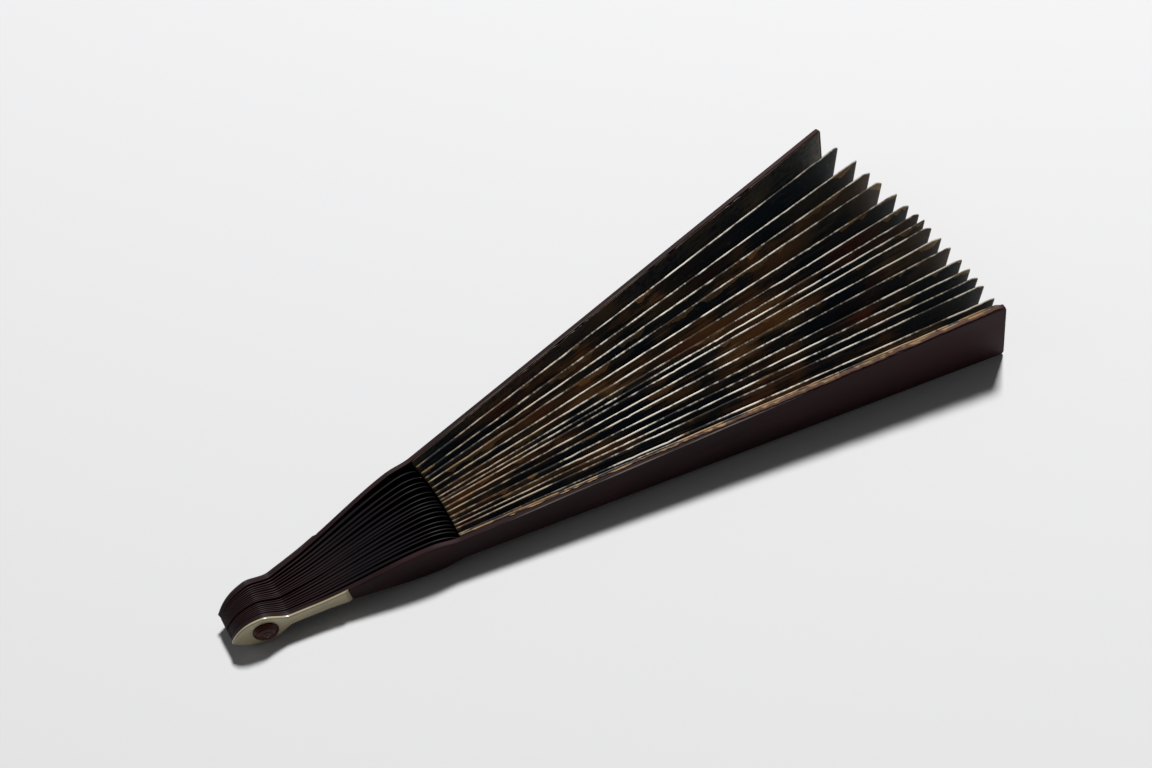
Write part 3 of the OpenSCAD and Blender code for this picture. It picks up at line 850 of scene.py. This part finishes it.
# %% [markdown]
# ## The inner sticks
# A stick is split from a thin board, shaped in a stack with its fellows, and rounded at its edges by
# use. Past the shoulder it is cut down to a narrow rib, which lies glued behind the leaf. The
# shoulder is a quarter ellipse, and its rounded edge is what catches the light in a row of curved
# lines.

# %% Outline of a stick
RIB_T, RIB_INNER_W, RIB_OUTER_W, RIB_SHORT = 0.25, 2.0, 4.0, 8.0
STICK_INSET, VALLEY_GAP = 0.3, 0.1
TIP_CUT = 0.15  # the first section stands this far inside the tip
RIB_FROM = 0.5  # and the rib's first section this far past the shoulder
SHOULDER_END = LEAF_INNER_R - VALLEY_GAP


def spaced(*stretches):
    """Distances along a stick from (start, end, count) stretches, without repeats."""
    return np.unique(np.concatenate([np.linspace(*s) for s in stretches]).round(5))


shoulder_steps = np.sin(np.linspace(0, np.pi / 2, 22))
stick_parts = (
    spaced((-HEAD_TIP + TIP_CUT, HEAD_R, 22), (HEAD_R, NECK_R, 20), (NECK_R, SHOULDER_R, 34)),
    SHOULDER_R + (SHOULDER_END - SHOULDER_R) * shoulder_steps,
    spaced((SHOULDER_END + RIB_FROM, LEAF_R - RIB_SHORT, 6)),
)
stick_r = np.unique(np.concatenate(stick_parts).round(4))
rounding = np.clip((stick_r - SHOULDER_R) / (SHOULDER_END - SHOULDER_R), 0, 1)
shoulder = (RIB_INNER_W + (SHOULDER_W - RIB_INNER_W) * np.sqrt(1 - rounding**2)) / 2
rib_part = (RIB_OUTER_W - RIB_INNER_W) * (stick_r - LEAF_INNER_R) / (LEAF_R - LEAF_INNER_R)
rib = (RIB_INNER_W + rib_part) / 2
handle = handle_half(stick_r, HEAD_W / 2 - STICK_INSET)
stick_half = np.where(stick_r < SHOULDER_R, handle, shoulder)
stick_half = np.where(stick_r > SHOULDER_END, rib, stick_half)
in_leaf = stick_r > SHOULDER_END + RIB_FROM / 2
print("sections along a stick", len(stick_r))

# %% [markdown]
# The handle swells a little between head and shoulder, so that its edges nearly fill the row. It
# swells less where the next stick lies closer. The nearer sticks have shrunk a little at the head,
# and a thin gap has opened behind them.

# %% Inner sticks
SWELL, SWELL_FROM, SWELL_RISE, SWELL_TO, SWELL_FALL = 0.66, 12, 26, 44, 30
FULL_ROOM = 0.0175  # radians to the next stick that leave room for the whole swelling
GAP_BEHIND, GAP_OPEN, LOW_HEADS, HEAD_FADE = 7, 0.13, 0.4, 22
STICK_ROUND = 0.14
swell_end = 1 - ease((stick_r - SWELL_TO) / SWELL_FALL)
swelling = SWELL * ease((stick_r - SWELL_FROM) / SWELL_RISE) * swell_end
head_part = 1 - ease((stick_r - NECK_R) / HEAD_FADE)
for i in range(1, LAST):
    open_low = GAP_OPEN * head_part * (i == GAP_BEHIND + 1)
    open_high = GAP_OPEN * head_part * (i == GAP_BEHIND)
    room = min(SPLAYS[i + 1] - SPLAYS[i], FULL_ROOM) / FULL_ROOM
    low = np.where(in_leaf, 0.0, -STICK_T / 2 + open_low)
    high = np.where(in_leaf, RIB_T, STICK_T / 2 - open_high + swelling * room)
    lowered = LOW_HEADS * head_part * (i <= GAP_BEHIND)
    half = stick_half - np.minimum(lowered, stick_half / 2)
    name = f"stick_{i:02d}_wood"
    stick = bar(name, i, stick_r, low, high, half, STICK_ROUND, STICK_ROUND, stick_wood)
    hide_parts(f"stick_{i:02d}")
    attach(stick, BODIES[i])
print("sticks", INNER_STICKS, "with", len(stick.data.polygons), "faces each")

# %% [markdown]
# ## The guards
# A guard is a stick four times as thick, and its blade widens to cover the folded leaf. Its outer
# edges are eased with a file, and the inner ones are left crisp. A shallow seat is cut in its head
# for the horn cheek.

# %% Guards
HORN_R, HORN_T, HORN_PROUD = 33.0, 1.0, 0.3
FILED, SEAT_EDGE, CRISP = 0.75, 0.15, 0.3
SEAT_STEP, END_CUT = 0.01, 0.02  # half the step at the seat's end, and the gap left at the blade's end
guard_r = spaced(
    (-HEAD_TIP + TIP_CUT, HEAD_R, 22),
    (HEAD_R, NECK_R, 20),
    (NECK_R, HORN_R - SEAT_STEP, 16),
    (HORN_R + SEAT_STEP, SHOULDER_R, 22),
    (SHOULDER_R, LEAF_INNER_R, 14),
    (LEAF_INNER_R, GUARD_R - GUARD_CORNER, 24),
    (GUARD_R - GUARD_CORNER, GUARD_R - END_CUT, 9),
)
in_seat = guard_r < HORN_R
seat = np.where(in_seat, HORN_T - HORN_PROUD, 0.0)
eased = np.where(in_seat, SEAT_EDGE, FILED)
for i, side in ((0, -1), (LAST, 1)):
    inner = np.full(guard_r.shape, -side * GUARD_T / 2)
    outer = side * (GUARD_T / 2 - seat)
    low, high = (outer, inner) if side < 0 else (inner, outer)
    rounds = (eased, CRISP) if side < 0 else (CRISP, eased)
    half = guard_half(guard_r)
    guard = bar(BODIES[i] + "_wood", i, guard_r, low, high, half, *rounds, guard_wood)
    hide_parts(BODIES[i])
    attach(guard, BODIES[i])
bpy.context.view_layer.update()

# %% [markdown]
# ## The horn cheeks
# Each cheek is a thin plate of horn, sawn to the outline of the head and neck, set in the guard's
# seat and polished with it. Its far end is filed to a slope.

# %% Horn cheeks
HORN_BEVEL, BEVEL_LEFT, HORN_TIP_CUT = 1.6, 0.12, 0.1
HORN_ROUND, HORN_ROUND_SHARE, HORN_CRISP = 0.42, 0.45, 0.05
BEVEL_R = HORN_R - HORN_BEVEL
horn_r = spaced(
    (-HEAD_TIP + HORN_TIP_CUT, HEAD_R, 26),
    (HEAD_R, NECK_R, 24),
    (NECK_R, BEVEL_R, 20),
    (BEVEL_R, HORN_R, 5),
)
slope = np.clip((horn_r - BEVEL_R) / HORN_BEVEL, 0, 1) * (HORN_T - BEVEL_LEFT)
soft = np.minimum(HORN_ROUND, (HORN_T - slope) * HORN_ROUND_SHARE)
for i, side, name, horn_finish in ((0, -1, "near", pale_horn), (LAST, 1, "far", smoky_horn)):
    seat_face = np.full(horn_r.shape, side * (GUARD_T / 2 - HORN_T + HORN_PROUD))
    face = side * (GUARD_T / 2 + HORN_PROUD - slope)
    low, high = (face, seat_face) if side < 0 else (seat_face, face)
    rounds = (soft, HORN_CRISP) if side < 0 else (HORN_CRISP, soft)
    half = handle_half(horn_r, HEAD_W / 2)
    horn = bar(f"horn_{name}_cheek", i, horn_r, low, high, half, *rounds, horn_finish)
    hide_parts(f"horn_plate_{name}")
    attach(horn, BODIES[i])
print("cheeks", len(horn_r), "sections,", len(horn.data.polygons), "faces each")

# %% [markdown]
# ## The rivet
# A pin runs through every head, and a turned horn button covers each end. The button is a low dome
# with a rounded rim, two fine grooves and a small sunken bead in the middle. It is a profile turned
# about the rivet.

# %% Profile of an eye
EYE_D, EYE_DOME, EYE_RIM = 9.4, 1.8, 0.5
RIM_ROUND, RIM_LOW, FOOT_W = 0.35, 0.1, 1.5
GROOVES, GROOVE_WIDE, GROOVE_DEEP = (0.8, 0.42), 0.045, 0.16
BEAD_R, BEAD_SUNK = 0.75, 0.2
DOME_REACH = 0.97  # the dome's last ring, as a share of the way to the middle


def rings(q, width):
    """A sum of bell curves of the given width, one at each groove, at a share q of the radius."""
    return sum(np.exp(-(((q - at) / width) ** 2)) for at in GROOVES)


def eye_profile(count):
    """Radius and height of a button from its foot to its middle: a quarter-round rim, then a quarter
    ellipse that is lowered in each groove and raised by a sunken bead in the middle."""
    radius = EYE_D / 2
    rim = np.linspace(0, np.pi / 2, 7)
    rim_r = radius - RIM_ROUND + RIM_ROUND * np.cos(rim)
    rim_h = EYE_RIM - RIM_LOW + RIM_ROUND * np.sin(rim)
    dome_r = (radius - RIM_ROUND) * (1 - np.linspace(0, DOME_REACH, count)[1:])
    ellipse = np.sqrt(1 - (dome_r / (radius - RIM_ROUND)) ** 2)
    dome_h = rim_h[-1] + (EYE_RIM + EYE_DOME - rim_h[-1]) * ellipse
    bead = np.maximum(np.sqrt(np.maximum(BEAD_R**2 - dome_r**2, 0)) - BEAD_SUNK, 0)
    dome_h = dome_h - GROOVE_DEEP * rings(dome_r / radius, GROOVE_WIDE) + bead
    foot = np.array([[radius - FOOT_W, 0.0], [radius, 0.0]])
    return np.concatenate([foot, np.stack([rim_r, rim_h], -1), np.stack([dome_r, dome_h], -1)])


profile = eye_profile(44)
print("an eye is", EYE_D, "mm wide and", round(float(profile[:, 1].max()), 2), "mm high")

# %% [markdown]
# The profile is turned by formula and not by the spin tool, so its seam is closed from the start. The
# pin hardly shows, so its solid stays as it is and only takes the horn.

# %% Rivet eyes and pin
EYE_GAP, STAIN_WIDE = 0.05, 0.1
EYE_SEAT = GUARD_T / 2 + HORN_PROUD + EYE_GAP
EYE_MAP_AT = (30, 12)  # where the eye lies on the horn's map, in millimetres
turn = np.linspace(0, 2 * np.pi, 72, endpoint=False)
eye_r = profile[:, :1]
for i, side, name in ((0, -1, "near"), (LAST, 1, "far")):
    ring_x = eye_r * np.cos(turn)
    ring_z = eye_r * np.sin(turn) * -side
    along = rivet_r(i, side * EYE_SEAT) + ring_x
    points = place(i, along, side * (EYE_SEAT + profile[:, 1:]), ring_z).reshape(-1, 3)
    faces = [f[::-1] for f in strip_faces(len(profile), len(turn), True)]
    top = (len(profile) - 1) * len(turn)
    faces += [list(range(len(turn))), list(range(top, top + len(turn)))[::-1]]
    uv = np.stack([ring_x + EYE_MAP_AT[0], ring_z + EYE_MAP_AT[1] * side], -1) * MM
    # The grooves are drawn darker, and the bead is polished: its edge value is 1 lower.
    groove = rings(eye_r / profile[1, 0], STAIN_WIDE) - (eye_r < BEAD_R) + np.zeros_like(ring_x)
    values = {"edge": groove}
    eye = new_piece(f"rivet_{name}_eye", points, faces, [brown_horn], uv.reshape(-1, 2), values)
    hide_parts(f"rivet_eye_{name}")
    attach(eye, BODIES[i])

frame["nodes"]["rivet_pin"].data.materials.clear()
frame["nodes"]["rivet_pin"].data.materials.append(brown_horn)
print("eyes", len(profile), "by", len(turn), "points")

# %% [markdown]
# ## The leaf
# The leaf is one long sheet, folded again and again. Cloth physics could fold it, but a formula gives
# every fold its place and tells the material where it is. Paper is never quite straight: a line along
# it wanders, and its folds are nicked. Sums of waves and bell curves, from fixed seeds, do both.

# %% Wandering lines
WAVES, WAVES_REACH = 7, 2.6  # so many waves together reach about so high
FINE_END = 6.0  # the rows lie closer in this last stretch of the leaf


def wander(r, size, spacing, seed):
    """A smooth wandering value along r: a sum of waves of about the given spacing with random
    phases."""
    dice = np.random.default_rng(seed)
    k = 2 * np.pi / (spacing * dice.uniform(0.6, 2.2, WAVES))
    waves = np.sin(np.asarray(r)[..., None] * k + dice.uniform(0, 2 * np.pi, WAVES))
    return size * waves.sum(-1) / WAVES_REACH


def nicks(r, count, depth, seed):
    """Small worn dips along a fold: bell curves at random places, 1 to 4 mm long."""
    dice = np.random.default_rng(seed)
    at = dice.uniform(LEAF_INNER_R + 8, LEAF_R, count)
    wide = dice.uniform(0.5, 2.0, count)
    deep = depth * dice.uniform(0.2, 1.0, count)
    return (deep * np.exp(-(((r[:, None] - at) / wide) ** 2))).sum(1)


leaf_r = spaced((LEAF_INNER_R, LEAF_R - FINE_END, 140), (LEAF_R - FINE_END, LEAF_R, 16))
print("a first fold wanders by", np.ptp(wander(leaf_r, size=0.08, spacing=26, seed=200)).round(2), "mm")

# %% [markdown]
# A sheet of paper is two grids, its front and its back, joined round the rim. A Solidify modifier would
# thicken it as well, but here the front and the back need weights of their own when the fan opens.

# %% Sheets
PAPER_T = 0.2


def shell(name, front_points, values, uv, materials):
    """A thin closed sheet: the grid is its front, its back lies a paper's thickness below along the
    grid's normals, and a rim joins the two. The front has the first material, and the back and the
    rim have the second."""
    rows, columns = front_points.shape[:2]
    along, across = np.gradient(front_points, axis=0), np.gradient(front_points, axis=1)
    normal = np.cross(along, across)
    normal /= np.linalg.norm(normal, axis=-1, keepdims=True)
    back_points = front_points - normal * PAPER_T
    count = rows * columns
    front = [f[::-1] for f in strip_faces(rows, columns, False)]
    back = [[v + count for v in f[::-1]] for f in front]
    grid = np.arange(count).reshape(rows, columns)
    loop = np.concatenate([grid[0, :-1], grid[:-1, -1], grid[-1, :0:-1], grid[:0:-1, 0]])
    after = np.roll(loop, -1)
    rim = np.stack([loop, after, after + count, loop + count], -1).tolist()
    points = np.concatenate([front_points.reshape(-1, 3), back_points.reshape(-1, 3)])
    doubled = {k: np.concatenate([np.ravel(v), np.ravel(v)]) for k, v in values.items()}
    both_uv = np.concatenate([uv.reshape(-1, 2)] * 2)
    slots = [0] * len(front) + [1] * (len(back) + len(rim))
    faces = front + back + rim
    return new_piece(name, points, faces, materials, both_uv, doubled, "leaf", slots)


print("paper", PAPER_T, "mm thick,", len(leaf_r), "rows along the leaf")

# %% [markdown]
# Each pleat is one panel glued along its stick, a soft round fold on top, and a free panel that falls
# to the foot of the next stick. The first one is glued to the near guard and stands a little higher.
# The folds' outer tips have worn down and curled, each in its own way.

# %% Lines of a pleat
FOLD_R = 0.42
FIRST_HIGHER, FIRST_CLEAR = 0.9, 0.02
NICK_SEED, DIP_SEED, SWAY_SEED, BOW_SEED, TIP_SEED = 100, 200, 400, 500, 17
rng = np.random.default_rng(TIP_SEED)
# How far each tip is worn down, over what run, and how far it curls.
tip_drop = rng.uniform(0.5, 1.9, LAST)
tip_run = rng.uniform(2.0, 5.0, LAST)
tip_curl = rng.uniform(-0.3, 0.5, LAST)


def layer_side(i):
    """The direction in which the next layer lies."""
    return np.array([-math.sin(SPLAYS[i]), math.cos(SPLAYS[i]), 0.0])


def pleat_lines(i):
    """Three lines along the leaf: where pleat i's fold springs from its glued panel, the way from
    there to that panel's foot, and the way from the fold's other side to the free panel's foot."""
    half = pleat_half(leaf_r)
    dip = nicks(leaf_r, count=14, depth=0.25, seed=NICK_SEED + i)
    dip = dip + np.abs(wander(leaf_r, size=0.08, spacing=26, seed=DIP_SEED + i))
    near_end = np.clip((leaf_r - LEAF_R + tip_run[i]) / tip_run[i], 0, 1) ** 2
    worn_half = (half - dip if i else half + FIRST_HIGHER - dip) - tip_drop[i] * near_end
    glued_at = GUARD_T / 2 + FIRST_CLEAR if i == 0 else -PAPER_T
    next_at = -GUARD_T / 2 if i + 1 == LAST else 0.0
    sway = glued_at + wander(leaf_r, size=0.05, spacing=40, seed=SWAY_SEED + i)
    sway = sway + tip_curl[i] * near_end
    spring = place(i, leaf_r, sway, worn_half - FOLD_R)
    glued_way = place(i, leaf_r, glued_at, -half) - spring
    free_foot = place(i + 1, leaf_r, next_at - PAPER_T - VALLEY_GAP, -half)
    return spring, glued_way, free_foot - spring - 2 * FOLD_R * layer_side(i)


print("fold tips are worn by", tip_drop.min().round(2), "to", tip_drop.max().round(2), "mm")

# %% [markdown]
# The section of a pleat is a half circle of radius R, with a straight panel from each of its ends. At
# distance s from the top the angle is s/R, held to a quarter turn each way, and what is left of s
# runs down one panel or the other.

# %% Section of a pleat
PANEL_STEPS = 8
QUARTER = np.pi / 2 * FOLD_R
NEAR_S = np.concatenate([np.linspace(0, QUARTER, 7), [1.0, 1.5, 2.2, 3.0]])
UP = np.array([0.0, 0.0, 1.0])


def pleat_grid(i):
    """The points of pleat i, their distances s from the fold, which are negative on the glued panel,
    and the widths of its glued and its free panel. Points lie closer together near the fold."""
    spring, glued_way, free_way = pleat_lines(i)
    glued_w = np.linalg.norm(glued_way, axis=-1)[:, None] + QUARTER
    free_w = np.linalg.norm(free_way, axis=-1)[:, None] + QUARTER
    near = np.tile(NEAR_S, (len(leaf_r), 1))
    reach = NEAR_S[-1]
    tail = np.linspace(0, 1, PANEL_STEPS)[1:]
    glued_s = np.concatenate([near, reach + (glued_w - reach) * tail], 1)
    free_s = np.concatenate([near, reach + (free_w - reach) * tail], 1)
    s = np.concatenate([-glued_s[:, :0:-1], free_s], 1)
    angle = np.clip(s / FOLD_R, -np.pi / 2, np.pi / 2)[..., None]
    arc = FOLD_R * (1 + np.sin(angle)) * layer_side(i) + FOLD_R * np.cos(angle) * UP
    down = np.maximum(-s - QUARTER, 0)[..., None] * (glued_way / (glued_w - QUARTER))[:, None, :]
    over = np.maximum(s - QUARTER, 0)[..., None] * (free_way / (free_w - QUARTER))[:, None, :]
    return spring[:, None, :] + arc + down + over, s, glued_w, free_w


print("a pleat's grid is", pleat_grid(1)[1].shape)

# %% [markdown]
# The sheet's outer edge is cut askew, so that a valley ends a little before its neighbouring folds.
# And paper is never flat: the free panel bows a little.

# %% Askew and bowed
END_SLANT, SLANT_FROM = 6.5, 215


def askew_and_bowed(i, grid, s, glued_w, free_w):
    """Moves a pleat's points inward along its panels by their depth from the fold, more so towards
    the outer edge, and bows the free panel by half a sine wave that wanders along it."""
    depth = np.where(s < 0, -s / glued_w, s / free_w)
    share = np.clip(s / free_w, 0, 1)
    turned = SPLAYS[i] + (SPLAYS[i + 1] - SPLAYS[i]) * share
    inward = np.stack([-np.cos(turned), -np.sin(turned), np.zeros_like(turned)], -1)
    slant = END_SLANT * depth * ease((leaf_r - SLANT_FROM) / (LEAF_R - SLANT_FROM))[:, None]
    grid = grid + inward * slant[..., None]
    bowed = wander(leaf_r, size=0.25, spacing=90, seed=BOW_SEED + i)
    bow = np.sin(share * np.pi) * bowed[:, None]
    outward = (leaf_r - LEAF_INNER_R) / (LEAF_R - LEAF_INNER_R)
    return grid + layer_side(i) * bow[..., None] * outward[:, None, None]


print("valleys end", END_SLANT, "mm before the folds")

# %% [markdown]
# When the fan opens, the glued panel turns with its own stick, the foot turns with the next one, and
# the free panel is shared out between them. The free panel turns over on the way, so its front runs a
# little ahead of its back: the painted side then lies in front when the fan stands open.

# %% Pleats
TURN_LEAD = 0.08
PANEL_MAP_MM, PLEAT_APART_MM = 18.0, 29.3  # each panel's place on the map, each pleat's in the wear


def share_bend(piece, body, next_body, weights):
    """Lets a sheet bend between two bodies, with a weight for each point: 0 turns with the first and
    1 with the second."""
    low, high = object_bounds()
    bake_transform(piece, body, next_body, start=tuple(low), end=tuple(high))
    held = piece.data.attributes["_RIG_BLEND"]
    held.data.foreach_set("value", np.asarray(weights, np.float32).ravel())


for i in range(LAST):
    grid, s, glued_w, free_w = pleat_grid(i)
    grid = askew_and_bowed(i, grid, s, glued_w, free_w)
    run = np.broadcast_to(leaf_r[:, None], s.shape)
    panel = np.where(s < 0, 1 + s / glued_w, 1 + s / free_w)
    uv = np.stack([run, (2 * i + panel) * PANEL_MAP_MM], -1) * MM
    values = {"fold_mm": s, "run_mm": run, "pleat_at_mm": np.full(s.shape, PLEAT_APART_MM * i)}
    sides = [near_paper if i == 0 else leaf_paper, back_paper]
    pleat = shell(f"leaf_pleat_{i:02d}", grid, values, uv, sides)
    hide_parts(f"pleat_{i:02d}")
    weight = np.clip(s / free_w, 0, 1)
    lead = TURN_LEAD * np.sin(np.pi * weight)
    weights = np.concatenate([(weight + lead).ravel(), (weight - lead).ravel()])
    share_bend(pleat, BODIES[i], BODIES[i + 1], weights)
print("pleats", LAST, "with", len(pleat.data.polygons), "faces each")

# %% [markdown]
# ## The torn edge on the near guard
# The leaf was pasted over the near guard's upper edge. Its painted ply has torn away there, and a
# ragged tan strip is left. The strip is a thin sheet: its nearer part is rubbed brown with the
# guard's edge, the line where the ply tore wanders and is nicked, and its inner side hangs over the
# wood. Paint on the guard could show it, but a real sheet has a rim that throws a fine shadow.

# %% Torn edge
TORN_FROM, TORN_SHORT = 96.0, 1.0
NEAR_AT, NEAR_SHIFT, SHIFT_FROM, SHIFT_RUN, NEAR_RAGGED = 0.55, 1.25, 125, 95, 0.25
NEAR_MARGIN, FAR_MARGIN = 0.25, 0.1
OVERHANG, LIFT, SAG_FROM, RUB_AT, RUB_SOFT = 0.35, 0.05, 0.1, 0.3, 0.2
torn_r = spaced((TORN_FROM, GUARD_R - GUARD_CORNER - TORN_SHORT, 420))
torn_t = np.linspace(0, 1, 9)
ragged = wander(torn_r, size=0.45, spacing=9, seed=61)
ragged = ragged + wander(torn_r, size=0.3, spacing=2.5, seed=62)
ragged = ragged + nicks(torn_r, count=60, depth=0.7, seed=63)
near_edge = NEAR_AT - NEAR_SHIFT * ease((torn_r - SHIFT_FROM) / SHIFT_RUN) + NEAR_RAGGED * ragged
near_edge = np.clip(near_edge, -GUARD_T / 2 + NEAR_MARGIN, GUARD_T / 2 - FAR_MARGIN)
torn_out = near_edge[:, None] + (GUARD_T / 2 + OVERHANG - near_edge)[:, None] * torn_t
sag = np.clip(torn_out - GUARD_T / 2 + SAG_FROM, 0, None)
curl = np.abs(wander(torn_r, size=0.12, spacing=5, seed=64))[:, None] * (1 - torn_t)
torn_z = guard_half(torn_r)[:, None] + PAPER_T + LIFT + curl - sag
torn_grid = place(0, torn_r[:, None], torn_out, torn_z)
torn_uv = np.stack([np.broadcast_to(torn_r[:, None], torn_out.shape), torn_out], -1) * MM
rubbed_part = 1 - ease((torn_out - (RUB_AT + ragged)[:, None]) / RUB_SOFT)
torn_values = {"edge": rubbed_part}
torn_edge = shell("leaf_torn_edge", torn_grid, torn_values, torn_uv, [torn_paper, torn_paper])
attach(torn_edge, BODIES[0])
print("torn edge", len(torn_edge.data.polygons), "faces")

# %% [markdown]
# ## The last panel
# The sheet ends on the inside of the far guard, where its last panel is pasted down flat. Its upper
# edge has frayed. It is a flat grid whose upper half follows the frayed line, so that no point of it
# has to be cut away.

# %% End panel
end_t = np.linspace(-1, 1, 24)
full_half = pleat_half(leaf_r)
end_half = full_half - nicks(leaf_r, count=14, depth=0.8, seed=77)
end_half = end_half - np.abs(wander(leaf_r, size=0.2, spacing=30, seed=78))
end_z = np.where(end_t > 0, end_half[:, None] * end_t, full_half[:, None] * end_t)
end_grid = place(LAST, leaf_r[:, None], np.full(end_z.shape, -GUARD_T / 2 - PAPER_T), end_z)
end_s = end_z - end_half[:, None]
end_run = np.broadcast_to(leaf_r[:, None], end_s.shape)
end_uv = np.stack([end_run, (2 * LAST + 1) * PANEL_MAP_MM + end_s], -1) * MM
end_values = {"fold_mm": end_s, "run_mm": end_run}
end_values["pleat_at_mm"] = np.full(end_s.shape, PLEAT_APART_MM * LAST)
end_panel = shell("leaf_end_sheet", end_grid, end_values, end_uv, [end_paper, back_paper])
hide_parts("leaf_end_panel")
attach(end_panel, BODIES[LAST])
print("end panel", len(end_panel.data.polygons), "faces")
